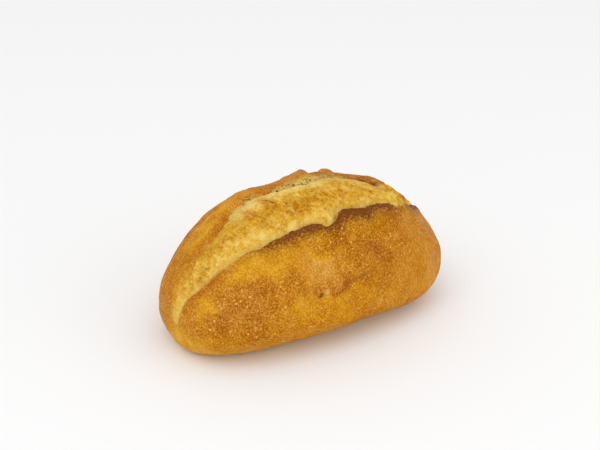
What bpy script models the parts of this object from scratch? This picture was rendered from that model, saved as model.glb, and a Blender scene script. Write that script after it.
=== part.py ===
"""A small crusty bread roll, baked on a flat stone with one long slash in its top.

The roll is one solid. Its loaf is an oval with a flat underside and a low girth. The slash
runs along the top from the near end (-X) to the far end (+X). Its front edge lifts into an
ear, its back edge stands up in a ridge with two torn flaps, and the bloom, the band of dough
that opened between them, swells up from a foot below both edges.

Metres, +Z up. The origin is at the middle of the underside, X runs along the roll and +Y is
the back. Angles "along" the slash start at the near end (0), pass over the top (90) and end
at the far end (180). Angles "across" are 0 on the middle plane and positive to the back.
"""
import bmesh
import bpy
import math
import numpy as np

MM = 0.001

# The loaf, before the slash opens it.
LENGTH = 138.5 * MM
WIDTH = 80.2 * MM
CROWN_HEIGHT = 59.0 * MM
GIRTH_HEIGHT = 0.30 * CROWN_HEIGHT   # where the outline is widest
CROWN_LEAN = 2.6 * MM                # how far the crown sits back from the middle
CROWN_RISE = 0.035                  # how much the crown climbs towards the far end
BELLY_DEPTH = 1.40 * GIRTH_HEIGHT    # of the round underside that the stone presses flat
BASE_BEND = 3.0 * MM                 # height over which the side turns into the underside

# Powers of the outline: 2 is an ellipse, more is blunter and less is more pointed.
NEAR_END_POWER = 1.93
FAR_END_POWER = 2.33
BASE_PLAN_POWER = 3.3
TOP_SECTION_POWER = 2.55
LOW_SECTION_POWER = 1.57

# The two edges of the slash: (degrees along, degrees across).
FRONT_EDGE = ((-70, -20), (-5, -8.5), (11, -13.5), (33, -22), (57, -29), (78, -33), (90, -36.5),
              (97, -33), (108, -33.5), (118, -31.5), (138, -22), (158, -14), (172, -9), (240, -20))
BACK_EDGE = ((-70, 5), (-5, -4), (18, -4.5), (33, -3.5), (45, 1), (56, 7), (72, 19), (88, 13.5),
             (108, 13), (124, 7), (145, -3), (172, -5), (240, 5))

# Heights above the loaf, along the slash: (degrees along, metres).
EAR_LIFT = ((-5, 0.0), (22, 0.4 * MM), (75, 1.4 * MM), (92, 0.9 * MM), (98, 2.0 * MM),
            (125, 1.6 * MM), (170, 0.0))
EAR_DROP = ((-5, 0.0), (22, 0.9 * MM), (75, 2.2 * MM), (92, 1.6 * MM), (98, 3.0 * MM),
            (125, 2.6 * MM), (172, 0.0))
BLOOM_SWELL = ((-5, 0.0), (25, 0.5 * MM), (50, 2.2 * MM), (75, 3.8 * MM), (110, 3.8 * MM),
               (140, 2.0 * MM), (172, 0.0))
BACK_DROP = ((0, 0.0), (25, 0.5 * MM), (60, 1.3 * MM), (110, 1.4 * MM), (172, 0.0))
RIDGE_LIFT = ((15, 0.0), (50, 0.9 * MM), (85, 2.2 * MM), (125, 1.4 * MM), (170, 0.0))
EAR_REACH = 9.0 * MM                 # how far down the flank the ear's lift fades
EAR_LEAN = 0.9 * MM                  # how far the ear's edge leans over the bloom
RIDGE_SETBACK = 5.0 * MM             # from the back edge to the ridge's top
RIDGE_REACH = 6.5 * MM
WALL = 0.8                           # degrees across that a wall of the slash takes

# Torn flaps on the ridge and the notch between them: (degrees along, half width, height).
FLAPS = ((97, 6.0, 2.4 * MM), (105, 3.0, -1.2 * MM), (112, 3.5, 1.4 * MM))
FLAP_SETBACK = 6.0 * MM
FLAP_REACH = 3.5 * MM

# Single swellings and hollows: (degrees along, degrees across, reach in degrees, height).
SWELLINGS = ((55, 37, 25, 2.0 * MM), (146, 1, 12, -1.5 * MM), (172, -30, 15, 1.5 * MM),
             (210, -48, 14, 1.2 * MM), (-40, -42, 22, -1.2 * MM), (-8, 38, 12, -2.0 * MM))

# Broad lumps in the crust.
LUMP_HEIGHT = 0.3 * MM
LUMP_LENGTHS = (24.0 * MM, 46.0 * MM)
LUMP_WAVES = 18
LUMP_SEED = 11

# Rows of faces: along X, up Z, and across Y as front crust, front wall, bloom, back wall
# and back crust.
CELLS_ALONG = 38
CELLS_UP = 15
CELLS_ACROSS = (10, 1, 9, 1, 8)


def smooth_step(low, high, value):
    """0 below low, 1 above high, and a smooth climb between."""
    t = np.clip((value - low) / (high - low), 0.0, 1.0)
    return t * t * (3.0 - 2.0 * t)


def hump(centre, reach, value):
    """A smooth hump of height 1 at its centre."""
    return np.exp(-((value - centre) / reach) ** 2)


def through(stations, at):
    """A smooth line through (place, value) stations, level beyond the first and last."""
    places, values = np.array(stations, dtype=float).T
    slopes = np.gradient(values, places)
    slopes[[0, -1]] = 0.0
    i = np.clip(np.searchsorted(places, at) - 1, 0, len(places) - 2)
    span = places[i + 1] - places[i]
    t = np.clip((at - places[i]) / span, 0.0, 1.0)
    return (values[i] * (1 + 2 * t) * (1 - t) ** 2
            + values[i + 1] * (3 - 2 * t) * t ** 2
            + slopes[i] * span * t * (1 - t) ** 2
            - slopes[i + 1] * span * t ** 2 * (1 - t))


def box_grid(cells_along, cells_across, cells_up):
    """A closed box from -1 to 1, with its faces in even rows along each axis."""
    grid = bmesh.new()
    bmesh.ops.create_cube(grid, size=2.0)
    for axis, cells in enumerate((cells_along, cells_across, cells_up)):
        edges = [e for e in grid.edges
                 if abs(e.verts[0].co[axis] - e.verts[1].co[axis]) > 1.0]
        bmesh.ops.subdivide_edges(grid, edges=edges, cuts=cells - 1, use_grid_fill=True)
    return grid


def slash_rows(box, angle_along, radius):
    """Moves the box's rows so that some of them follow the edges of the slash.

    Returns the moved across places, and for each point which zone it is in (0 front crust,
    1 front wall, 2 bloom, 3 back wall, 4 back crust) and how far through that zone it is.
    """
    def box_place(across):
        return np.arctan(np.tan(np.radians(across)) * radius) / (math.pi / 4.0)

    front = through(FRONT_EDGE, angle_along)
    back = through(BACK_EDGE, angle_along)
    knots = np.stack([np.full_like(front, -1.0), box_place(front), box_place(front + WALL),
                      box_place(back - WALL), box_place(back), np.full_like(front, 1.0)])
    row_knots = np.cumsum((0,) + CELLS_ACROSS)
    row = np.rint((box[:, 1] + 1.0) / 2.0 * row_knots[-1])
    zone = np.clip(np.searchsorted(row_knots, row, side="right") - 1, 0, 4)
    through_zone = (row - row_knots[zone]) / np.array(CELLS_ACROSS)[zone]
    point = np.arange(len(row))
    place = knots[zone, point] * (1.0 - through_zone) + knots[zone + 1, point] * through_zone
    return place, zone, through_zone


def loaf(direction):
    """Where each direction from the loaf's heart meets its crust, before the slash."""
    x, y, z = (direction / np.linalg.norm(direction, axis=1)[:, None]).T
    upper = smooth_step(-0.6, 0.6, z)
    section_power = LOW_SECTION_POWER + (TOP_SECTION_POWER - LOW_SECTION_POWER) * upper
    end_power = NEAR_END_POWER + (FAR_END_POWER - NEAR_END_POWER) * smooth_step(-1, 1, x)
    plan_power = BASE_PLAN_POWER + (end_power - BASE_PLAN_POWER) * upper
    section = (abs(y) ** section_power + abs(z) ** section_power) ** (1.0 / section_power)
    reach = (abs(x) ** plan_power + section ** plan_power) ** (-1.0 / plan_power)
    crown = CROWN_HEIGHT - GIRTH_HEIGHT
    along = LENGTH / 2.0 * reach * x
    end = 2.0 * along / LENGTH
    up = np.where(z > 0, crown, BELLY_DEPTH) * reach * z
    up = np.where(z > 0, up * (1.0 + CROWN_RISE * end), up)
    across = WIDTH / 2.0 * reach * y + CROWN_LEAN * np.maximum(up, 0.0) / crown
    return np.stack([along, across, up + GIRTH_HEIGHT], axis=1)


def outward(points):
    """Unit directions that lead out of the loaf at its points."""
    half = np.array([LENGTH / 2.0, WIDTH / 2.0, CROWN_HEIGHT - GIRTH_HEIGHT])
    heart = np.array([0.0, 0.0, GIRTH_HEIGHT])
    normal = (points - heart) / half ** 2
    return normal / np.linalg.norm(normal, axis=1)[:, None]


def slash_relief(angle_along, angle_across, zone, through_zone):
    """How far the slash lifts the crust, and how far it leans it to the back."""
    front = through(FRONT_EDGE, angle_along)
    back = through(BACK_EDGE, angle_along)
    past_front = np.radians(front - angle_across) * WIDTH / 2.0
    past_back = np.radians(angle_across - back) * WIDTH / 2.0

    ear = through(EAR_LIFT, angle_along)
    front_foot = ear - through(EAR_DROP, angle_along)
    ridge = through(RIDGE_LIFT, angle_along)
    back_lift = ridge * hump(RIDGE_SETBACK, RIDGE_REACH, 0.0)
    back_foot = back_lift - through(BACK_DROP, angle_along)
    front_crust = ear * hump(0.0, EAR_REACH, past_front)
    back_crust = ridge * hump(RIDGE_SETBACK, RIDGE_REACH, past_back)
    for centre, half_width, height in FLAPS:
        back_crust += (height * hump(centre, half_width, angle_along)
                       * hump(FLAP_SETBACK, FLAP_REACH, past_back))
    t = through_zone
    swell = through(BLOOM_SWELL, angle_along) * 4.0 * t * (1.0 - t)
    bloom = front_foot * (1.0 - t) + back_foot * t + swell
    front_wall = ear * (1.0 - t) + front_foot * t
    back_wall = back_foot * (1.0 - t) + back_lift * t
    lift = np.choose(zone, (front_crust, front_wall, bloom, back_wall, back_crust))

    opened = through(EAR_DROP, angle_along) / max(height for _, height in EAR_DROP)
    lean = np.where(zone == 0, hump(0.0, EAR_REACH / 3.0, past_front), 0.0)
    lean = np.where(zone == 1, 1.0 - through_zone, lean) * EAR_LEAN * opened
    return lift, lean


def lumps(points):
    """Broad, soft lumps of about unit height: a sum of waves in random directions."""
    chance = np.random.default_rng(LUMP_SEED)
    total = np.zeros(len(points))
    for _ in range(LUMP_WAVES):
        heading = chance.normal(size=3)
        heading /= np.linalg.norm(heading)
        wave_length = chance.uniform(*LUMP_LENGTHS)
        start = chance.uniform(0.0, 2.0 * math.pi)
        total += np.sin(points @ heading * 2.0 * math.pi / wave_length + start)
    return total * math.sqrt(2.0 / LUMP_WAVES)


def swellings(direction):
    """The single swellings and hollows of the loaf, each round its own direction."""
    unit = direction / np.linalg.norm(direction, axis=1)[:, None]
    total = np.zeros(len(unit))
    for angle_along, angle_across, reach, height in SWELLINGS:
        level = math.cos(math.radians(angle_across))
        middle = np.array([-math.cos(math.radians(angle_along)) * level,
                           math.sin(math.radians(angle_across)),
                           math.sin(math.radians(angle_along)) * level])
        away = np.degrees(np.arccos(np.clip(unit @ middle, -1.0, 1.0)))
        total += height * hump(0.0, reach, away)
    return total


def settle(height):
    """Presses what is below the stone flat, with a soft bend at its rim."""
    bent = (height + BASE_BEND) ** 2 / (4.0 * BASE_BEND)
    return np.where(height < -BASE_BEND, 0.0, np.where(height < BASE_BEND, bent, height))


def roll_points(box):
    """Takes points of the box grid to the surface of the roll, over the middle of its base."""
    spread = np.tan(box * math.pi / 4.0)
    radius = np.hypot(spread[:, 0], spread[:, 2])
    angle_along = np.degrees(np.arctan2(spread[:, 2], -spread[:, 0]))
    angle_along = (angle_along + 90.0) % 360.0 - 90.0
    place, zone, through_zone = slash_rows(box, angle_along, np.maximum(radius, 1e-9))
    on_side = abs(box[:, 1]) > 1.0 - 1e-6
    place = np.where(on_side, box[:, 1], place)
    spread[:, 1] = np.tan(place * math.pi / 4.0)
    angle_across = np.degrees(np.arctan2(spread[:, 1], radius))

    points = loaf(spread)
    lift, lean = slash_relief(angle_along, angle_across, zone, through_zone)
    out = outward(points)
    to_back = np.array([0.0, 1.0, 0.0]) - out * out[:, 1:2]
    lift = lift + swellings(spread) + LUMP_HEIGHT * lumps(points)
    points = points + out * lift[:, None] + to_back * lean[:, None]
    points[:, 2] = settle(points[:, 2])
    middle = (points.max(axis=0) + points.min(axis=0)) / 2.0
    points[:, :2] -= middle[:2]
    return points


def crust_material():
    material = bpy.data.materials.new("browned_crust")
    material.use_nodes = True
    shader = material.node_tree.nodes["Principled BSDF"]
    shader.inputs["Base Color"].default_value = (0.57, 0.26, 0.04, 1.0)
    shader.inputs["Roughness"].default_value = 0.62
    shader.inputs["Metallic"].default_value = 0.0
    return material


def bread_roll():
    grid = box_grid(CELLS_ALONG, sum(CELLS_ACROSS), CELLS_UP)
    grid.verts.ensure_lookup_table()
    box = np.array([v.co[:] for v in grid.verts])
    for vert, point in zip(grid.verts, roll_points(box)):
        vert.co = point
    bmesh.ops.triangulate(grid, faces=grid.faces[:], quad_method="SHORT_EDGE")
    bmesh.ops.recalc_face_normals(grid, faces=grid.faces[:])
    mesh = bpy.data.meshes.new("bread_roll")
    grid.to_mesh(mesh)
    grid.free()
    mesh.shade_smooth()
    mesh.materials.append(crust_material())
    roll = bpy.data.objects.new("bread_roll", mesh)
    bpy.context.scene.collection.objects.link(roll)


for leftover in list(bpy.data.objects):
    bpy.data.objects.remove(leftover, do_unlink=True)
bread_roll()
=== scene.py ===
import bmesh
import bpy
import math
import numpy as np
from mathutils import Matrix, Vector


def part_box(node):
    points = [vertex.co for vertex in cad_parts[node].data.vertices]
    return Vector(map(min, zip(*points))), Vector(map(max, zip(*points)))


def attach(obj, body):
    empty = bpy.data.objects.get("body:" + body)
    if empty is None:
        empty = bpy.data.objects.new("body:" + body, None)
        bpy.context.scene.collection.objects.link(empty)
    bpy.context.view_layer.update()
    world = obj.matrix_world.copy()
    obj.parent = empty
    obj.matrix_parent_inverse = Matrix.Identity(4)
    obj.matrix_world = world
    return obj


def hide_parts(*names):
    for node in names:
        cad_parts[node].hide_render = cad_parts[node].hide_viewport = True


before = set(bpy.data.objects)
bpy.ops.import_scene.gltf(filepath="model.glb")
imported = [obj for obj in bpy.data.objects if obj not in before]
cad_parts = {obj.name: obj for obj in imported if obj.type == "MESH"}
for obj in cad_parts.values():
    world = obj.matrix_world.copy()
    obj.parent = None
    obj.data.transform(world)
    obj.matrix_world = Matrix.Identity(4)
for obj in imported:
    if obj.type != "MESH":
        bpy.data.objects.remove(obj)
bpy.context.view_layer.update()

# The loaf is one lump of proved dough, baked on a flat stone: an oval with a low girth, a
# crown that leans to the back, blunt at the far end and rounder at the near one, and an
# underside that the stone has pressed flat. It is shaped from its heart outwards.

MM = 0.001
low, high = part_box("bread_roll")
LENGTH = high[0] - low[0]
WIDTH = 0.988 * (high[1] - low[1])
CROWN_HEIGHT = 0.944 * (high[2] - low[2])
GIRTH_HEIGHT = 0.30 * CROWN_HEIGHT
CROWN_LEAN = 0.032 * WIDTH
CROWN_RISE = 0.035
BELLY_DEPTH = 1.40 * GIRTH_HEIGHT
BASE_BEND = 3.0 * MM
NEAR_END_POWER = 1.93
FAR_END_POWER = 2.33
BASE_PLAN_POWER = 3.3
TOP_SECTION_POWER = 2.55
LOW_SECTION_POWER = 1.57

# Single swellings and hollows: (degrees along, degrees across, reach in degrees, height).
SWELLINGS = ((55, 37, 25, 1.7 * MM), (62, 33, 16, 0.6 * MM), (84, 19, 8, -0.7 * MM),
             (-8, 38, 12, -2.0 * MM), (-22, 12, 14, 0.8 * MM), (-33, -24, 14, 0.8 * MM),
             (-40, -42, 22, -1.2 * MM), (-83, -53, 13, -0.8 * MM), (230, -68, 14, 0.3 * MM),
             (210, -48, 14, 1.2 * MM), (197, -39, 9, -1.0 * MM), (172, -30, 15, 1.5 * MM),
             (158, -26, 8, -0.6 * MM), (160, -32, 5, -0.4 * MM), (155, -25, 4, 0.5 * MM),
             (153, -18, 3, -0.4 * MM), (150, -20, 14, -0.5 * MM), (148, -12, 4, 0.6 * MM),
             (146, 1, 12, -1.5 * MM), (141, -20, 4, -0.6 * MM), (131.5, 7, 5, 1.2 * MM),
             (134, 0, 4, 1.7 * MM), (138, -5, 5, -0.8 * MM), (168, -20, 8, -0.5 * MM))


def smooth_step(low_end, high_end, value):
    t = np.clip((value - low_end) / (high_end - low_end), 0.0, 1.0)
    return t * t * (3.0 - 2.0 * t)


def hump(centre, reach, value):
    return np.exp(-((value - centre) / reach) ** 2)


def through(stations, at):
    """A smooth line through (place, value) stations, level beyond the first and last."""
    places, values = np.array(stations, dtype=float).T
    slopes = np.gradient(values, places)
    slopes[[0, -1]] = 0.0
    i = np.clip(np.searchsorted(places, at) - 1, 0, len(places) - 2)
    span = places[i + 1] - places[i]
    t = np.clip((at - places[i]) / span, 0.0, 1.0)
    return (values[i] * (1 + 2 * t) * (1 - t) ** 2
            + values[i + 1] * (3 - 2 * t) * t ** 2
            + slopes[i] * span * t * (1 - t) ** 2
            - slopes[i + 1] * span * t ** 2 * (1 - t))


def loaf(direction):
    """Where each direction from the loaf's heart meets its crust, before the slash."""
    x, y, z = (direction / np.linalg.norm(direction, axis=1)[:, None]).T
    upper = smooth_step(-0.6, 0.6, z)
    section_power = LOW_SECTION_POWER + (TOP_SECTION_POWER - LOW_SECTION_POWER) * upper
    end_power = NEAR_END_POWER + (FAR_END_POWER - NEAR_END_POWER) * smooth_step(-1, 1, x)
    plan_power = BASE_PLAN_POWER + (end_power - BASE_PLAN_POWER) * upper
    section = (abs(y) ** section_power + abs(z) ** section_power) ** (1.0 / section_power)
    reach = (abs(x) ** plan_power + section ** plan_power) ** (-1.0 / plan_power)
    crown = CROWN_HEIGHT - GIRTH_HEIGHT
    along = LENGTH / 2.0 * reach * x
    end = 2.0 * along / LENGTH
    up = np.where(z > 0, crown, BELLY_DEPTH) * reach * z
    up = np.where(z > 0, up * (1.0 + CROWN_RISE * end), up)
    across = WIDTH / 2.0 * reach * y + CROWN_LEAN * np.maximum(up, 0.0) / crown
    return np.stack([along, across, up + GIRTH_HEIGHT], axis=1)


def outward(points):
    half = np.array([LENGTH / 2.0, WIDTH / 2.0, CROWN_HEIGHT - GIRTH_HEIGHT])
    heart = np.array([0.0, 0.0, GIRTH_HEIGHT])
    normal = (points - heart) / half ** 2
    return normal / np.linalg.norm(normal, axis=1)[:, None]


def patches(direction, places):
    """The sum of soft round patches: (degrees along, degrees across, reach, strength)."""
    unit = direction / np.linalg.norm(direction, axis=1)[:, None]
    total = np.zeros(len(unit))
    for angle_along, angle_across, reach, strength in places:
        level = math.cos(math.radians(angle_across))
        middle = np.array([-math.cos(math.radians(angle_along)) * level,
                           math.sin(math.radians(angle_across)),
                           math.sin(math.radians(angle_along)) * level])
        away = np.degrees(np.arccos(np.clip(unit @ middle, -1.0, 1.0)))
        total += strength * hump(0.0, reach, away)
    return total


def settle(height):
    """Presses what is below the stone flat, with a soft bend at its rim."""
    bent = (height + BASE_BEND) ** 2 / (4.0 * BASE_BEND)
    return np.where(height < -BASE_BEND, 0.0, np.where(height < BASE_BEND, bent, height))


# The slash is one cut of a blade along the top of the proved dough. In the oven its front
# edge lifts and dries into the ear, its back edge stands up as a ridge with torn flaps, and
# the dough between them, the bloom, bursts upwards from a foot below both edges.

# The two edges: (degrees along, degrees across).
FRONT_EDGE = ((-70, -16), (-6, -5.7), (4.5, -8.7), (13.5, -12.2), (19, -14.2), (22, -16.5),
              (25, -18.4), (30, -20.3), (38, -22.6), (45, -25.0), (51, -26.0), (60, -29.9),
              (70, -31.4), (78, -31.7), (85, -32.4),
              (86.8, -33.5), (88.4, -36.3), (90.6, -35.8), (93.8, -34.2), (95.6, -32.2),
              (108, -31.8), (117, -29), (124, -28), (128.6, -29), (134.5, -23.6), (141.5, -17.3),
              (150, -12.4), (165, -9), (180, -8), (240, -16))
BACK_EDGE = ((-70, 5), (-5, -1.8), (3, -0.2), (13, -1.5), (19, -1.9), (26, -1.8), (34, -0.3),
             (41, 0.8), (51, 3.8), (58, 8),
             (65, 12), (71, 13.8), (83, 14.8), (100, 13), (115, 12.5), (120, 10.5), (124, 5),
             (127.5, 1.5), (131, 3), (136, 5), (143, 5), (152, 2), (165, -3), (180, -4), (240, 5))

# Heights above the loaf, along the slash: (degrees along, metres).
EAR_LIFT = ((-5, 0.0), (22, 0.4 * MM), (75, 1.4 * MM), (90, 0.8 * MM), (97, 2.0 * MM),
            (125, 1.6 * MM), (170, 0.0))
EAR_DROP = ((-5, 0.0), (22, 0.9 * MM), (75, 2.2 * MM), (90, 1.5 * MM), (97, 3.0 * MM),
            (125, 2.6 * MM), (172, 0.0))
BLOOM_SWELL = ((-5, 0.0), (25, 0.5 * MM), (50, 2.2 * MM), (75, 3.8 * MM), (110, 3.8 * MM),
               (126, 2.7 * MM), (133, 2.8 * MM), (140, 1.8 * MM), (155, 0.5 * MM),
               (172, 0.0))
BLOOM_POWER = 2.3
BACK_DROP = ((0, 0.0), (25, 0.5 * MM), (60, 1.4 * MM), (112, 1.4 * MM), (122, 1.8 * MM),
             (127, 2.8 * MM), (131, 2.4 * MM), (138, 0.8 * MM), (172, 0.0))
RIDGE_LIFT = ((15, 0.0), (50, 1.9 * MM), (68, 2.1 * MM), (85, 1.8 * MM), (98, 1.4 * MM),
              (105.5, 3.2 * MM), (112, 2.0 * MM), (121, 1.2 * MM), (127, 1.8 * MM),
              (134, 1.0 * MM), (150, 0.0))
EAR_REACH = 9.0 * MM
EAR_LEAN = 0.9 * MM
RIDGE_SETBACK = 5.0 * MM
RIDGE_REACH = 6.5 * MM
WALL = 0.9
FLAPS = ((93.4, 102.6, 5.0, 1.5, 3.2 * MM), (110.6, 114.3, 0.5, 1.4, 1.8 * MM))
FLAP_SETBACK = 6.0 * MM
FLAP_REACH = 3.5 * MM

# How ragged the torn edges are: (wave length in degrees along, jitter in degrees across).
FRONT_RAGS = ((12.0, 0.40), (4.7, 0.16), (1.9, 0.16))
BACK_RAGS = ((13.0, 0.7), (5.1, 0.35), (2.3, 0.25))

# Rows of faces: along X, up Z, and across Y as front crust, front wall, bloom, back wall
# and back crust.
CELLS_ALONG = 170
CELLS_UP = 72
CELLS_ACROSS = (18, 8, 48, 6, 30)


def ragged(rags, angle_along, seed):
    """An uneven line: a few waves of different length along the slash."""
    chance = np.random.default_rng(seed)
    total = np.zeros(len(angle_along))
    for wave_length, jitter in rags:
        for stretch in (1.0, 1.37, 0.71):
            start = chance.uniform(0.0, 2.0 * math.pi)
            total += jitter / 1.7 * np.sin(2.0 * math.pi * angle_along / (wave_length * stretch)
                                           + start)
    return total


def box_grid(cells_along, cells_across, cells_up):
    """A closed box from -1 to 1, with its faces in even rows along each axis."""
    grid = bmesh.new()
    bmesh.ops.create_cube(grid, size=2.0)
    for axis, cells in enumerate((cells_along, cells_across, cells_up)):
        edges = [e for e in grid.edges
                 if abs(e.verts[0].co[axis] - e.verts[1].co[axis]) > 1.0]
        bmesh.ops.subdivide_edges(grid, edges=edges, cuts=cells - 1, use_grid_fill=True)
    return grid


def slash_edges(angle_along):
    """The front and back edge of the slash, in degrees across, torn where it is open."""
    opened = smooth_step(-5.0, 40.0, angle_along) * smooth_step(172.0, 140.0, angle_along)
    front = through(FRONT_EDGE, angle_along) + opened * ragged(FRONT_RAGS, angle_along, 3)
    back = through(BACK_EDGE, angle_along) + opened * ragged(BACK_RAGS, angle_along, 8)
    return front, back


def slash_rows(box, angle_along, radius):
    """Moves the box's rows so that some of them follow the edges of the slash.

    Returns the moved across places, and for each point which zone it is in (0 front crust,
    1 front wall, 2 bloom, 3 back wall, 4 back crust) and how far through that zone it is.
    """
    def box_place(across):
        return np.arctan(np.tan(np.radians(across)) * radius) / (math.pi / 4.0)

    front, back = slash_edges(angle_along)
    knots = np.stack([np.full_like(front, -1.0), box_place(front), box_place(front + WALL),
                      box_place(back - WALL), box_place(back), np.full_like(front, 1.0)])
    row_knots = np.cumsum((0,) + CELLS_ACROSS)
    row = np.rint((box[:, 1] + 1.0) / 2.0 * row_knots[-1])
    zone = np.clip(np.searchsorted(row_knots, row, side="right") - 1, 0, 4)
    through_zone = (row - row_knots[zone]) / np.array(CELLS_ACROSS)[zone]
    point = np.arange(len(row))
    place = knots[zone, point] * (1.0 - through_zone) + knots[zone + 1, point] * through_zone
    return place, zone, through_zone


def slash_relief(angle_along, angle_across, zone, through_zone):
    """How far the slash lifts the crust, how far it leans it, and how far off its edges are."""
    front, back = slash_edges(angle_along)
    past_front = np.radians(front - angle_across) * WIDTH / 2.0
    past_back = np.radians(angle_across - back) * WIDTH / 2.0

    ear = through(EAR_LIFT, angle_along)
    front_foot = ear - through(EAR_DROP, angle_along)
    ridge = through(RIDGE_LIFT, angle_along)
    back_lift = ridge * hump(RIDGE_SETBACK, RIDGE_REACH, 0.0)
    back_foot = back_lift - through(BACK_DROP, angle_along)
    front_crust = ear * hump(0.0, EAR_REACH, past_front)
    back_crust = ridge * hump(RIDGE_SETBACK, RIDGE_REACH, past_back)
    for start, end, rise, fall, height in FLAPS:
        back_crust += (height * smooth_step(start - rise, start + rise, angle_along)
                       * smooth_step(end + fall, end - fall, angle_along)
                       * hump(FLAP_SETBACK, FLAP_REACH, past_back))
    t = through_zone
    swell = through(BLOOM_SWELL, angle_along) * (1.0 - abs(2.0 * t - 1.0) ** BLOOM_POWER)
    bloom = front_foot * (1.0 - t) + back_foot * t + swell
    fall = smooth_step(0.0, 1.0, t)
    front_wall = ear * (1.0 - fall) + front_foot * fall
    back_wall = back_foot * (1.0 - fall) + back_lift * fall
    lift = np.choose(zone, (front_crust, front_wall, bloom, back_wall, back_crust))

    opened = through(EAR_DROP, angle_along) / max(height for _, height in EAR_DROP)
    lip = 1.0 - 1.3 * smooth_step(0.15, 0.6, t) + 0.3 * smooth_step(0.6, 1.0, t)
    lean = np.where(zone == 0, hump(0.0, EAR_REACH / 3.0, past_front), 0.0)
    lean = np.where(zone == 1, lip, lean) * EAR_LEAN * opened
    return lift, lean, past_front, past_back


# The crust's skin is never even: broad lumps where the dough was shaped, small soft dents,
# and hundreds of blisters that steam raised under the drying surface. The torn bloom is
# rougher, with crumb strands drawn across it. A small burst pit and a crease mark the front.

# Waves of the skin: (shortest, longest wave length, number of waves, height, seed).
LUMPS = (24.0 * MM, 46.0 * MM, 18, 0.30 * MM, 11)
DENTS = (7.0 * MM, 14.0 * MM, 30, 0.10 * MM, 5)
BLOOM_FOLDS = (5.0 * MM, 11.0 * MM, 36, 0.28 * MM, 21)
BLOOM_CRUMB = (2.2 * MM, 4.0 * MM, 44, 0.12 * MM, 27)
BLISTER_COUNT = 1500
BLISTER_SIZES = (0.7 * MM, 1.5 * MM)
BLISTER_HEIGHT = 0.16 * MM
BLISTER_SEED = 4

# Lines in the crust: (the places it passes, degrees along and across; how wide; how deep).
CREASE = (((77, -72.6), (97, -70.5), (119, -67)), 1.3 * MM, 0.5 * MM)
SLIT = (((50.6, -69.3), (58.4, -69.9)), 0.65 * MM, 0.8 * MM)

# Single marks: (degrees along, degrees across, reach in degrees, strength).
FLAKES = ((61.8, -70.0, 1.0, 1.0), (200.2, -56.3, 0.9, 0.7), (-27.2, -59.6, 1.0, 0.8))
PRICKS = ((93.6, -65.0, 0.5, 0.8), (139, -7.8, 0.7, 1.2), (203.4, -59.8, 0.9, 0.8),
          (-29.5, -60.5, 0.6, 0.8))
MARK_HEIGHT = 0.4 * MM


def waves(points, skin):
    """Soft unevenness: a sum of waves in random directions."""
    shortest, longest, count, height, seed = skin
    chance = np.random.default_rng(seed)
    total = np.zeros(len(points))
    for _ in range(count):
        heading = chance.normal(size=3)
        heading /= np.linalg.norm(heading)
        wave_length = chance.uniform(shortest, longest)
        start = chance.uniform(0.0, 2.0 * math.pi)
        total += np.sin(points @ heading * 2.0 * math.pi / wave_length + start)
    return total * height * math.sqrt(2.0 / count)


def blisters(points, crust):
    """Small round swellings, each on a random point of the crust."""
    chance = np.random.default_rng(BLISTER_SEED)
    total = np.zeros(len(points))
    on_crust = np.flatnonzero(crust > 0.9)
    for centre in points[chance.choice(on_crust, BLISTER_COUNT)]:
        size = chance.uniform(*BLISTER_SIZES)
        height = BLISTER_HEIGHT * chance.uniform(0.4, 1.0) * size / BLISTER_SIZES[1]
        near = np.flatnonzero(abs(points[:, 0] - centre[0]) < 2.2 * size)
        away = np.linalg.norm(points[near] - centre, axis=1)
        total[near] = np.maximum(total[near], height * hump(0.0, size, away))
    return total


def seam(points, route, reach):
    """1 along a line on the crust, fading to 0 beside it: (degrees along, degrees across)."""
    angles = np.array(route, dtype=float)
    steps = np.linspace(0.0, len(angles) - 1.0, 12 * len(angles))
    route_along = np.radians(np.interp(steps, range(len(angles)), angles[:, 0]))
    route_across = np.radians(np.interp(steps, range(len(angles)), angles[:, 1]))
    level = np.cos(route_across)
    line = loaf(np.stack([-np.cos(route_along) * level, np.sin(route_across),
                          np.sin(route_along) * level], axis=1))
    depth = np.zeros(len(points))
    for step, place in zip(steps, line):
        fade = min(1.0, 0.3 + step, 0.3 + steps[-1] - step)
        away = np.linalg.norm(points - place, axis=1)
        depth = np.maximum(depth, fade * hump(0.0, reach, away))
    return depth


# The finish is told mostly by how hot each place got. The thin ear is nearly burnt, the crown and
# shoulders are chestnut, the foot of the loaf stays golden and is lightened further as painted
# light where the table shades it, and the bloom, the last to dry, is a pale straw colour that
# toasts only on its crest and is lightened as painted light at its foot by the ear. Painted
# shadow darkens the pores, holes, torn gaps and crease, and painted shade the line beside the
# healed lip. These numbers ride on the mesh.

# How far the borders of what is painted stray: a wave as above, its height in radians.
STRAY = (8.0 * MM, 18.0 * MM, 16, 0.05)

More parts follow.
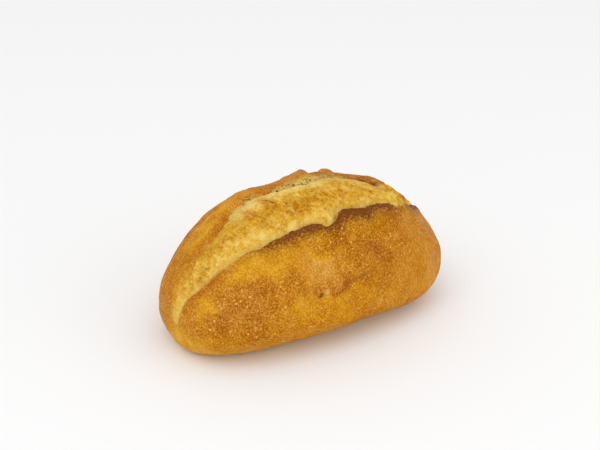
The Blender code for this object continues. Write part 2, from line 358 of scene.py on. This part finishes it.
# Toasting of the crust and of the bloom: (degrees along, degrees across, reach, strength).
CRUST_TOAST = ((20, -38, 10, 0.08), (40, -43, 8, 0.18), (33, -53, 8, 0.20), (8, -37, 8, 0.22),
               (28, -27, 5, 0.10), (-6, -52, 9, 0.16), (48, -50, 6, 0.14), (72, -70, 4.5, 0.34),
               (84, -66, 6, 0.06), (107, -53, 13, 0.14), (126, -42, 6, 0.16), (118, -56, 8, 0.10),
               (138, -67, 14, 0.08), (150, -33, 7, 0.04), (66, -42, 10, -0.20),
               (50, -35, 8, -0.16), (73, -55, 7, -0.18), (52, -66, 6, -0.17), (93, -77, 8, -0.08),
               # (-22, -14) and (-34, -30) are painted light, lightening the low near end where it is shaded.
               (165, -46, 12, -0.06), (16, -25, 4.5, -0.27), (-22, -14, 14, -0.36),
               (-34, -30, 12, -0.16), (-16, 4, 10, -0.04), (44, 9, 8, -0.18), (16, 6, 9, 0.06),
               (98, 24, 14, 0.06), (57, 18, 5, -0.22), (49, 14, 5, -0.18),
               (66, 19, 4, -0.26), (76, 18, 4, -0.12), (14, 27, 5, 0.16), (30, 31, 5, 0.26),
               (50, 31, 6, 0.20), (66, 26, 5, 0.10), (80, 24, 6, 0.10), (82, -42, 5, 0.16),
               (-8, -38, 6, 0.14), (2, -19, 6, 0.10), (117, 14, 4, 0.30), (84, -72, 5, 0.06), (14, 4, 6, 0.10),
               (101, -67.6, 4, -0.14), (73, -40, 5, 0.08), (42, -27, 4, -0.20), (94, -45, 5, 0.18),
               (0, -34, 6, 0.08), (-58, -43, 7, -0.35), (-40, -18, 8, -0.14))
GOLD = ((67, -41, 11, 0.85), (86, -44, 10, 1.1), (113, -41, 9, 0.8), (93, -80, 12, 1.0),
        (70, -86, 10, 0.6), (50, -34, 8, 0.6), (12, -33, 4, 0.6), (-14, -40, 10, 0.5),
        (-20, -10, 14, 0.7), (30, -70, 12, 0.5), (48, 12, 7, 0.4), (75, 20, 8, 0.3),
        (128, -40, 7, -0.2), (148, -31, 9, -0.4), (73, -57, 8, -0.5), (18, -41, 9, -0.9),
        (71, -68, 6, -0.4), (36, -44, 8, -0.3), (110, -56, 9, -0.2), (42, -27, 6, 0.5),
        (63, -34, 6, 0.5), (45, 26, 16, 1.2), (16, -25, 5, 0.7))
BLOOM_TOAST = ((70, -9, 6, 0.32), (75, -15, 5, 0.24), (62, -9, 5, 0.12), (71, -5, 5, 0.06),
               (84, -9, 6, 0.14), (100, -9, 7, 0.26), (88, -18, 8, 0.32), (112, -17, 7, 0.16),
               (67, -20, 5, 0.12), (54, -9, 5, 0.06), (34, -11, 8, 0.36), (22, -13, 6, -0.08),
               (66, -27, 4, -0.24), (57, -22, 4, -0.16), (44, -19, 4.5, -0.22), (64, 6, 5, -0.18),
               (80, 7, 8, -0.40), (90, 8, 7, -0.12), (112, 6, 6, -0.14), (90, -33, 4, -0.22),
               (104, -28, 5, -0.16), (122, -22, 6, -0.12), (136, -12, 6, -0.06),
               (6, -6, 5, -0.16), (98, 6, 7, -0.22), (77, -2, 5, -0.28), (62, 3, 4, -0.20),
               (74, -28, 3.5, -0.70), (131, -12, 6, 0.45),
               (69, 1, 8, 0.30), (107, 9, 6, 0.10), (90, 17, 4, 0.16),
               (100, 18, 5, 0.26), (110, 15, 4, 0.25), (30, -17, 4, 0.20))
EAR_BURN = ((-5, 0.0), (30, 0.03), (46, 0.08), (52, 0.2), (58, 0.5), (66, 0.8), (76, 1.0),
            (84, 1.0), (89, 0.7), (94, 1.0), (116, 1.0), (124, 0.75), (129, 0.25), (132, 0.15),
            (136, 0.5), (140, 0.9), (148, 0.8), (153, 0.5), (160, 0.2), (172, 0.0))
SCORCHED = ((97, -35.5, 3.0, 0.4), (104, -34.5, 3.0, 0.3), (78, -34, 3.0, 0.1), (110, 14, 3.5, 0.35),
            (116, 13, 3.5, 0.45), (122, 9, 3.0, 0.45))
EAR_BURN_REACH = 3.0 * MM
EAR_GLOW_REACH = 7.0 * MM
EAR_GLOW = 0.5
RIDGE_BURN = ((5, 0.05), (34, 0.1), (42, 0.25), (50, 0.5), (60, 0.7), (64, 0.2), (70, 0.2),
              (76, 0.6), (90, 0.6), (100, 0.5), (108, 0.6), (113, 1.1), (119, 1.1), (123, 0.6),
              (129, 0.7), (134, 0.4), (150, 0.2), (172, 0.0))
RIDGE_BURN_REACH = 2.2 * MM

# Where the near end of the slash has healed, its bloom runs softly into the crust.
SOFT_EDGE = ((0, 1.6 * MM), (22, 2.2 * MM), (40, 1.2 * MM), (52, 0.4 * MM))
# A brown line beside the healed front edge, painted shade under its lip: (degrees along, strength).
HEALED_EDGE_SHADE = ((4, 0.0), (14, 0.6), (22, 1.0), (34, 1.0), (38, 0.5), (43, 0.0))
HEALED_REACH = 1.3 * MM
HEALED_LIP = 0.4 * MM
# Dark spots in the torn gaps under the back edge, painted shadow: (degrees along, reach in degrees, darkness).
TORN_GAP_SHADOWS = ((127.4, 2.2, 0.6), (122.5, 1.6, 0.5))

# Behind the crown the ridge's torn face leans back: how far its bared crumb reaches.
TORN_FACE = ((81, 0.0), (87, 2.0 * MM), (95, 3.2 * MM), (110, 2.2 * MM), (118, 0.6 * MM),
             (122, 0.0))
BACK_FOLD = (((34, 4), (43, 5.5), (48, 7), (53, 8.8), (58, 10.8), (64, 13.5)), 1.7 * MM)
STRANDS = (124, 2, 7, 1.0)
ROSY = ((98, 20, 5, 0.8), (109, 18, 4, 0.5), (122, 3, 4, 0.6), (129, -2, 4, 0.6), (142, -19, 4, 0.5),
        (150, -24, 6, 0.5), (195, -48, 6, 0.4), (172, -40, 7, 0.35), (4, 24, 10, 0.3))
COMBED = ((163, -40, 24, 0.75), (95, 30, 14, 0.4))


def roll_skin(box):
    """Takes points of the box grid to the surface of the roll.

    Returns the points and, for each, the numbers that its finish is painted by.
    """
    spread = np.tan(box * math.pi / 4.0)
    radius = np.hypot(spread[:, 0], spread[:, 2])
    angle_along = np.degrees(np.arctan2(spread[:, 2], -spread[:, 0]))
    angle_along = (angle_along + 90.0) % 360.0 - 90.0
    place, zone, through_zone = slash_rows(box, angle_along, np.maximum(radius, 1e-9))
    on_side = abs(box[:, 1]) > 1.0 - 1e-6
    place = np.where(on_side, box[:, 1], place)
    zone = np.where(on_side, np.where(box[:, 1] < 0.0, 0, 4), zone)
    spread[:, 1] = np.tan(place * math.pi / 4.0)
    angle_across = np.degrees(np.arctan2(spread[:, 1], radius))

    points = loaf(spread)
    lift, lean, past_front, past_back = slash_relief(angle_along, angle_across, zone, through_zone)
    out = outward(points)
    to_back = np.array([0.0, 1.0, 0.0]) - out * out[:, 1:2]
    opened = smooth_step(-5.0, 30.0, angle_along) * smooth_step(172.0, 150.0, angle_along)
    inside = np.choose(zone, (0.0 * place, smooth_step(0.35, 1.0, through_zone), 1.0 + 0.0 * place,
                              1.0 - smooth_step(0.0, 0.8, through_zone), 0.0 * place))
    soft = through(SOFT_EDGE, angle_along)
    healed = np.minimum(smooth_step(-HEALED_LIP, HEALED_LIP, -past_front),
                        smooth_step(-soft, soft, -past_back))
    inside += (healed - inside) * smooth_step(54.0, 40.0, angle_along)
    face = through(TORN_FACE, angle_along)
    bared = (smooth_step(-0.7 * MM, 0.7 * MM, face - past_back)
             * smooth_step(0.0, 1.0 * MM, face) * (zone >= 3))
    inside = np.maximum(inside, bared)
    inside *= smooth_step(-8.0, 0.0, angle_along) * smooth_step(172.0, 160.0, angle_along)
    crust = 1.0 - inside
    astray = spread / np.linalg.norm(spread, axis=1)[:, None]
    astray = astray + np.stack([waves(points, STRAY + (seed,)) for seed in (31, 32, 33)], axis=1)
    above_stone = smooth_step(0.0, 6.0 * MM, points[:, 2])
    folded = seam(points, *CREASE[:2])
    slit = seam(points, *SLIT[:2])
    flake = patches(spread, FLAKES)
    prick = patches(spread, PRICKS)

    fine = waves(points, DENTS) + blisters(points, crust)
    fine = fine * crust + inside * opened * (waves(points, BLOOM_FOLDS) + waves(points, BLOOM_CRUMB))
    lift = (lift + patches(spread, SWELLINGS) + waves(points, LUMPS) + fine * above_stone
            - CREASE[2] * folded - SLIT[2] * slit + MARK_HEIGHT * (flake - prick))
    points = points + out * lift[:, None] + to_back * lean[:, None]
    points[:, 2] = settle(points[:, 2])
    middle = (points.max(axis=0) + points.min(axis=0)) / 2.0
    points[:, 0] += (low[0] + high[0]) / 2.0 - middle[0]
    points[:, 1] += (low[1] + high[1]) / 2.0 - middle[1]
    points[:, 2] += low[2]

    burn = (hump(0.0, EAR_BURN_REACH, past_front)
            + EAR_GLOW * hump(0.0, EAR_GLOW_REACH, past_front))
    ear = through(EAR_BURN, angle_along) * np.choose(
        zone, (burn / (1.0 + EAR_GLOW), 1.0 - smooth_step(0.4, 0.9, through_zone),
               0.0 * place, 0.0 * place, 0.0 * place))
    ear += patches(astray, SCORCHED) * (zone != 2)
    ridge = through(RIDGE_BURN, angle_along) * np.choose(
        zone, (0.0 * place, 0.0 * place, hump(0.0, 0.03, 1.0 - through_zone),
               0.8 * (1.0 - bared), 0.8 * hump(0.0, RIDGE_BURN_REACH, past_back - face)))
    # painted shade beside the healed lip
    ridge += through(HEALED_EDGE_SHADE, angle_along) * hump(0.7 * HEALED_REACH, HEALED_REACH, past_front)
    ridge += 1.1 * seam(points, *BACK_FOLD)
    # painted shadow in the torn gaps of the back wall
    torn = sum(dark * hump(middle, reach, angle_along) for middle, reach, dark in TORN_GAP_SHADOWS)
    dry_back = (hump(-2.0 * MM, 6.5 * MM, past_back) * smooth_step(58.0, 64.0, angle_along)
                * smooth_step(132.0, 118.0, angle_along))
    finish = {
        "bloom": inside,
        "crust_toast": 0.45 + patches(astray, CRUST_TOAST),
        "gold": 0.35 + patches(astray, GOLD),
        "bloom_toast": 0.35 + patches(astray, BLOOM_TOAST),
        "ear": ear,
        "ridge": ridge,
        # painted shadow: dark pores under the back edge's crust
        "shaded_pores": (hump(0.0, 1.5 * MM, past_back) * smooth_step(67.0, 71.0, angle_along)
                  * smooth_step(106.0, 96.0, angle_along)),
        "strands": inside * patches(spread, (STRANDS,)),
        "rosy": patches(astray, ROSY) * (1.0 - inside),
        "combed": patches(astray, COMBED),
        # painted light: the bloom's pale foot by the ear, lightened against the ear's shade
        "crumb_foot_and_painted_light": inside * hump(0.0, 3.0 * MM, past_front),
        "dry_back": inside * dry_back,
        # painted shadow: the slit, the pricks and the torn gaps are darkened where they are shaded
        "shaded_holes": np.clip(1.8 * slit + prick + (zone == 3) * torn, 0.0, 1.0),
        "flake": np.clip(flake, 0.0, 1.0),
        # painted shade along the crease
        "crease": folded,
        # painted light: the golden foot is lightened further where the table shades it
        "base_gold_and_painted_light": 1.0 - smooth_step(0.0, 5.0 * MM, points[:, 2]),
        "layered": 1.0 - smooth_step(3.0 * MM, 11.0 * MM, points[:, 2]),
    }
    return points, finish


def shaped_roll():
    grid = box_grid(CELLS_ALONG, sum(CELLS_ACROSS), CELLS_UP)
    box = np.array([v.co[:] for v in grid.verts])
    points, finish = roll_skin(box)
    for vert, point in zip(grid.verts, points):
        vert.co = point
    bmesh.ops.recalc_face_normals(grid, faces=grid.faces[:])
    mesh = bpy.data.meshes.new("bread_roll_crust")
    grid.to_mesh(mesh)
    grid.free()
    mesh.shade_smooth()
    for name, values in finish.items():
        layer = mesh.attributes.new(name, "FLOAT", "POINT")
        layer.data.foreach_set("value", values.astype(np.float32))
    roll = bpy.data.objects.new("bread_roll_crust", mesh)
    bpy.context.scene.collection.objects.link(roll)
    return roll


def srgb(red, green, blue):
    """A colour as seen, 0 to 255, as the shader's linear light."""
    shares = np.array([red, green, blue]) / 255.0
    linear = np.where(shares > 0.04045, ((shares + 0.055) / 1.055) ** 2.4, shares / 12.92)
    return (*linear, 1.0)


def join(tree, kind, inputs=None, **settings):
    """Adds a node, with its settings and with what each of its inputs is joined to."""
    node = tree.nodes.new(kind)
    for name, value in settings.items():
        setattr(node, name, value)
    for name, value in (inputs or {}).items():
        if isinstance(value, bpy.types.NodeSocket):
            tree.links.new(value, node.inputs[name])
        else:
            node.inputs[name].default_value = value
    return node


def maths(tree, operation, first, second=0.0, third=0.0):
    node = join(tree, "ShaderNodeMath", {0: first, 1: second, 2: third}, operation=operation)
    return node.outputs[0]


def grain(tree, place, size, detail=3.0, roughness=0.55):
    """Cloudy noise with features of the given size in metres."""
    node = join(tree, "ShaderNodeTexNoise", {"Vector": place, "Scale": 1.0 / size,
                                             "Detail": detail, "Roughness": roughness})
    return node.outputs["Fac"]


def spots(tree, place, size, inner, outer, share):
    """Round spots of random strength: their size in metres, where their middle ends and where
    their rim ends in parts of it, and how many of them there are, as a share of 1."""
    node = join(tree, "ShaderNodeTexVoronoi", {"Vector": place, "Scale": 1.0 / size})
    round_spot = between(tree, node.outputs["Distance"], outer, inner)
    chance = join(tree, "ShaderNodeSeparateColor", {"Color": node.outputs["Color"]}).outputs[0]
    return maths(tree, "MULTIPLY", round_spot, between(tree, chance, 1.0 - share, 1.0, 0.0, 1.0))


def between(tree, value, low_end, high_end, to_low=0.0, to_high=1.0):
    node = join(tree, "ShaderNodeMapRange", {"Value": value, "From Min": low_end,
                                             "From Max": high_end, "To Min": to_low,
                                             "To Max": to_high},
                interpolation_type="SMOOTHSTEP")
    return node.outputs["Result"]


def blend(tree, factor, first, second, blend_type="MIX"):
    node = join(tree, "ShaderNodeMix", {"Factor": factor}, data_type="RGBA",
                blend_type=blend_type)
    for socket, value in ((node.inputs[6], first), (node.inputs[7], second)):
        if isinstance(value, bpy.types.NodeSocket):
            tree.links.new(value, socket)
        else:
            socket.default_value = value
    return node.outputs[2]


def shades(tree, value, stops):
    """Colours along a scale: (place, colour)."""
    node = join(tree, "ShaderNodeValToRGB", {"Fac": value})
    ramp = node.color_ramp
    while len(ramp.elements) < len(stops):
        ramp.elements.new(0.5)
    for element, (place, colour) in zip(ramp.elements, stops):
        element.position = place
        element.color = colour
    return node.outputs["Color"]


def painted(tree, name):
    return join(tree, "ShaderNodeAttribute", attribute_name=name).outputs["Fac"]


CRUST_SHADES = ((0.0, srgb(223, 173, 100)), (0.25, srgb(206, 146, 58)), (0.5, srgb(187, 122, 34)),
                (0.75, srgb(165, 96, 19)), (1.0, srgb(121, 63, 8)))
BLOOM_SHADES = ((0.0, srgb(236, 203, 112)), (0.28, srgb(223, 178, 68)), (0.52, srgb(208, 152, 38)),
                (0.78, srgb(186, 119, 20)), (1.0, srgb(148, 84, 12)))
GOLDEN = (1.05, 1.04, 0.3, 1.0)
BURNT = srgb(109, 53, 17)
RIDGE_BROWN = srgb(168, 92, 14)
# Painted shadow: the dark of pores, holes and torn gaps where they are shaded.
PORE_SHADOW = srgb(84, 46, 12)
BLISTER_TOP = srgb(244, 190, 92)
CRUMB_YELLOW = srgb(218, 166, 20)
CRUMB_PALE = srgb(234, 206, 122)
FLAKE_PALE = srgb(226, 180, 108)
ROSE_BROWN = srgb(200, 142, 98)
# The crumb's pale foot, made lighter as painted light against the ear's shade.
PALE_FOOT_AND_PAINTED_LIGHT = srgb(230, 196, 104)
DRY_CRUMB = srgb(220, 204, 134)
# The foot's gold, made lighter as painted light against the table's shade.
BASE_GOLD_AND_PAINTED_LIGHT = srgb(248, 202, 98)
# Painted shade in the crease.
CREASE_SHADE = srgb(140, 82, 26)
LAYER_PALE = srgb(236, 188, 92)


def crust_material():
    material = bpy.data.materials.new("baked_crust_and_bloom")
    material.use_nodes = True
    tree = material.node_tree
    shader = tree.nodes["Principled BSDF"]
    place = join(tree, "ShaderNodeTexCoord").outputs["Object"]

    broad = between(tree, grain(tree, place, 15.0 * MM, 2.0, 0.5), 0.3, 0.7)
    mottle = between(tree, grain(tree, place, 4.0 * MM, 3.0, 0.6), 0.32, 0.68)
    speckle = between(tree, grain(tree, place, 0.72 * MM, 1.5, 0.6), 0.32, 0.68)
    blister = maths(tree, "MAXIMUM", spots(tree, place, 1.9 * MM, 0.10, 0.40, 0.8),
                    maths(tree, "MULTIPLY", spots(tree, place, 1.1 * MM, 0.06, 0.42, 0.7), 0.7))

    combed_place = join(tree, "ShaderNodeVectorMath", {0: place, 1: (1.0, 1.0, 0.16)},
                        operation="MULTIPLY").outputs["Vector"]
    combing = between(tree, grain(tree, combed_place, 0.8 * MM, 2.0, 0.6), 0.32, 0.68)
    calm = between(tree, painted(tree, "crust_toast"), 0.15, 0.6, 0.65, 1.05)
    fine = join(tree, "ShaderNodeMix", {0: painted(tree, "combed"), 2: speckle, 3: combing})
    flecked = maths(tree, "MULTIPLY_ADD", fine.outputs[0], 0.46, -0.30)
    flecked = maths(tree, "MULTIPLY_ADD", mottle, 0.14, flecked)
    toast = maths(tree, "MULTIPLY_ADD", broad, 0.16, painted(tree, "crust_toast"))
    toast = maths(tree, "MULTIPLY_ADD", flecked, calm, toast)
    toast = maths(tree, "SUBTRACT", toast, 0.065)
    crust = shades(tree, toast, CRUST_SHADES)
    golden = maths(tree, "MULTIPLY_ADD", mottle, 0.3, painted(tree, "gold"))
    crust = blend(tree, golden, crust, GOLDEN, "MULTIPLY")
    # The foot of the loaf: golden, and lightened as painted light where the table shades it.
    crust = blend(tree, maths(tree, "MULTIPLY", painted(tree, "base_gold_and_painted_light"), 0.8), crust, BASE_GOLD_AND_PAINTED_LIGHT)
    crust = blend(tree, maths(tree, "MULTIPLY", painted(tree, "rosy"), 0.7), crust, ROSE_BROWN)
    layered_place = join(tree, "ShaderNodeVectorMath", {0: place, 1: (0.22, 0.22, 1.0)},
                         operation="MULTIPLY").outputs["Vector"]
    layer = between(tree, grain(tree, layered_place, 1.3 * MM, 2.0, 0.6), 0.47, 0.62)
    layer = maths(tree, "MULTIPLY", layer, painted(tree, "layered"))
    crust = blend(tree, maths(tree, "MULTIPLY", layer, 0.7), crust, LAYER_PALE)

    fibre_place = join(tree, "ShaderNodeVectorMath", {0: place, 1: (1.0, 0.4, 1.0)},
                       operation="MULTIPLY").outputs["Vector"]
    fibre = between(tree, grain(tree, fibre_place, 0.75 * MM, 3.0, 0.65), 0.32, 0.68)
    crumb = between(tree, grain(tree, place, 2.3 * MM, 4.0, 0.62), 0.34, 0.66)
    drift = between(tree, grain(tree, place, 7.0 * MM, 3.0, 0.6), 0.34, 0.66)
    dry = maths(tree, "MULTIPLY_ADD", crumb, 0.32, painted(tree, "bloom_toast"))
    dry = maths(tree, "MULTIPLY_ADD", drift, 0.33, dry)
    dry = maths(tree, "MULTIPLY_ADD", fibre, 0.38, dry)
    dry = maths(tree, "SUBTRACT", dry, 0.515)
    bloom = shades(tree, dry, BLOOM_SHADES)
    yellow = between(tree, grain(tree, place, 3.1 * MM, 2.0, 0.5), 0.52, 0.68, 0.0, 0.5)
    bloom = blend(tree, yellow, bloom, CRUMB_YELLOW)
    pale = between(tree, grain(tree, fibre_place, 1.5 * MM, 3.0, 0.6), 0.54, 0.7, 0.0, 0.5)
    bloom = blend(tree, pale, bloom, CRUMB_PALE)
    strand = between(tree, grain(tree, fibre_place, 1.1 * MM, 1.0, 0.5), 0.46, 0.6)
    strand = maths(tree, "MULTIPLY", strand, painted(tree, "strands"))
    bloom = blend(tree, maths(tree, "MULTIPLY", strand, 0.7), bloom, RIDGE_BROWN)
    # The bloom's pale foot by the ear, lightened as painted light against the ear's shade.
    bloom = blend(tree, maths(tree, "MULTIPLY", painted(tree, "crumb_foot_and_painted_light"), 0.5), bloom,
                  PALE_FOOT_AND_PAINTED_LIGHT)
    bloom = blend(tree, maths(tree, "MULTIPLY", painted(tree, "dry_back"), 0.45), bloom,
                  DRY_CRUMB)

    colour = blend(tree, painted(tree, "bloom"), crust, bloom)
    uneven_burn = maths(tree, "MULTIPLY_ADD", mottle, 0.3, 0.67)
    uneven_burn = maths(tree, "MULTIPLY_ADD", speckle, 0.9, uneven_burn)
    burn = maths(tree, "MULTIPLY", painted(tree, "ear"), uneven_burn)
    colour = blend(tree, maths(tree, "MINIMUM", burn, 0.93), colour, BURNT)
    shown = between(tree, painted(tree, "crust_toast"), 0.3, 0.7, 0.45, 1.0)
    shown = maths(tree, "MULTIPLY", shown, between(tree, drift, 0.2, 0.8, 0.6, 1.0))
    shown = maths(tree, "MULTIPLY", shown, maths(tree, "MULTIPLY_ADD", painted(tree, "combed"), -0.7,
                                                 1.0))
    risen = maths(tree, "MULTIPLY", blister, shown)
    risen = maths(tree, "MULTIPLY", risen, maths(tree, "SUBTRACT", 1.0, painted(tree, "bloom")))
    risen = maths(tree, "MULTIPLY", risen, maths(tree, "MULTIPLY_ADD", painted(tree, "ear"), -0.3,
                                                 1.0))
    colour = blend(tree, risen, colour, BLISTER_TOP)
    # Pores under the ridge's edge, dark with painted shadow from the crust over them.
    shaded_pores = maths(tree, "MULTIPLY", spots(tree, place, 1.1 * MM, 0.3, 0.48, 0.9),
                  painted(tree, "shaded_pores"))
    colour = blend(tree, maths(tree, "MINIMUM", maths(tree, "MULTIPLY", shaded_pores, 2.0), 0.9), colour,
                   PORE_SHADOW)
    uneven_ridge = maths(tree, "MULTIPLY_ADD", mottle, 0.5, 0.1)
    uneven_ridge = maths(tree, "MULTIPLY_ADD", speckle, 0.8, uneven_ridge)
    edge = maths(tree, "MULTIPLY", painted(tree, "ridge"), uneven_ridge)
    # The ridge's toasted brown; with the same numbers the line beside the healed lip is painted shade.
    colour = blend(tree, maths(tree, "MINIMUM", edge, 0.9), colour, RIDGE_BROWN)
    # Slit, pricks and torn gaps: painted shadow, dark where they are shaded.
    colour = blend(tree, painted(tree, "shaded_holes"), colour, PORE_SHADOW)
    colour = blend(tree, maths(tree, "MULTIPLY", painted(tree, "flake"), 0.9), colour, FLAKE_PALE)
    # The crease line is darkened with painted shade.
    colour = blend(tree, maths(tree, "MULTIPLY", painted(tree, "crease"), 0.6), colour,
                   CREASE_SHADE)
    tree.links.new(colour, shader.inputs["Base Color"])

    rough = maths(tree, "MULTIPLY_ADD", mottle, 0.15, 0.5)
    rough = maths(tree, "MULTIPLY_ADD", painted(tree, "bloom"), 0.2, rough)
    tree.links.new(rough, shader.inputs["Roughness"])
    shader.inputs["Specular IOR Level"].default_value = 0.1
    shader.inputs["IOR"].default_value = 1.35

    height = maths(tree, "MULTIPLY_ADD", blister, 1.0, maths(tree, "MULTIPLY", speckle, -0.5))
    torn = maths(tree, "MULTIPLY_ADD", crumb, 1.0, maths(tree, "MULTIPLY", fibre, 0.6))
    torn = maths(tree, "MULTIPLY_ADD", shaded_pores, -2.0, torn)
    both = join(tree, "ShaderNodeMix", {0: painted(tree, "bloom"), 2: height, 3: torn})
    bump = join(tree, "ShaderNodeBump", {"Strength": 0.9, "Distance": 0.25 * MM,
                                         "Height": both.outputs[0]})
    tree.links.new(bump.outputs["Normal"], shader.inputs["Normal"])
    return material


roll = shaped_roll()
roll.data.materials.append(crust_material())
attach(roll, "root")
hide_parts("bread_roll")

# The roll lies on a plain pale table top under a wide soft box, with a low fill in front.
# The camera stands in front of it to the left and looks down on it.

TABLE_SIZE = 6.0
VIEW_AZIMUTH = math.radians(-33.9)
VIEW_ELEVATION = math.radians(28.0)
VIEW_DISTANCE = 0.70
SENSOR = 36.0
FOCAL_LENGTH = 90.3
AIM = (-0.0006, 0.0007, 0.0445)


def table():
    top = bmesh.new()
    bmesh.ops.create_grid(top, x_segments=1, y_segments=1, size=TABLE_SIZE / 2.0)
    mesh = bpy.data.meshes.new("table_top")
    top.to_mesh(mesh)
    top.free()
    mesh.transform(Matrix.Translation((0.0, 0.0, low[2])))
    material = bpy.data.materials.new("pale_table")
    material.use_nodes = True
    paint = material.node_tree.nodes["Principled BSDF"]
    paint.inputs["Base Color"].default_value = (0.9, 0.9, 0.9, 1.0)
    paint.inputs["Roughness"].default_value = 0.9
    paint.inputs["Specular IOR Level"].default_value = 0.1
    mesh.materials.append(material)
    floor = bpy.data.objects.new("table_top", mesh)
    bpy.context.scene.collection.objects.link(floor)


def soft_box(name, place, aim, size, watts):
    light = bpy.data.lights.new(name, "AREA")
    light.shape = "RECTANGLE"
    light.size = size
    light.size_y = size * 0.8
    light.energy = watts
    lamp = bpy.data.objects.new(name, light)
    look(lamp, place, aim)
    bpy.context.scene.collection.objects.link(lamp)


def look(thing, place, aim):
    thing.location = place
    heading = Vector(aim) - Vector(place)
    thing.rotation_euler = heading.to_track_quat("-Z", "Y").to_euler()


table()
HEART = (0.0, 0.0, 0.03)
soft_box("key_soft_box", (-0.55, -0.45, 1.0), HEART, 1.4, 3.65)
soft_box("front_fill", (0.5, -0.9, 0.45), HEART, 1.0, 1.3)

world = bpy.data.worlds.new("studio_white")
bpy.context.scene.world = world
world.use_nodes = True
world.node_tree.nodes["Background"].inputs["Color"].default_value = (1.0, 1.0, 1.0, 1.0)
world.node_tree.nodes["Background"].inputs["Strength"].default_value = 0.9
bpy.context.scene.view_settings.view_transform = "Standard"

lens = bpy.data.cameras.new("studio_camera")
lens.sensor_width = SENSOR
lens.lens = FOCAL_LENGTH
lens.clip_start = 0.01
camera = bpy.data.objects.new("studio_camera", lens)
level_reach = VIEW_DISTANCE * math.cos(VIEW_ELEVATION)
look(camera, (math.sin(VIEW_AZIMUTH) * level_reach, -math.cos(VIEW_AZIMUTH) * level_reach,
              0.025 + VIEW_DISTANCE * math.sin(VIEW_ELEVATION)), AIM)
bpy.context.scene.collection.objects.link(camera)
bpy.context.scene.camera = camera
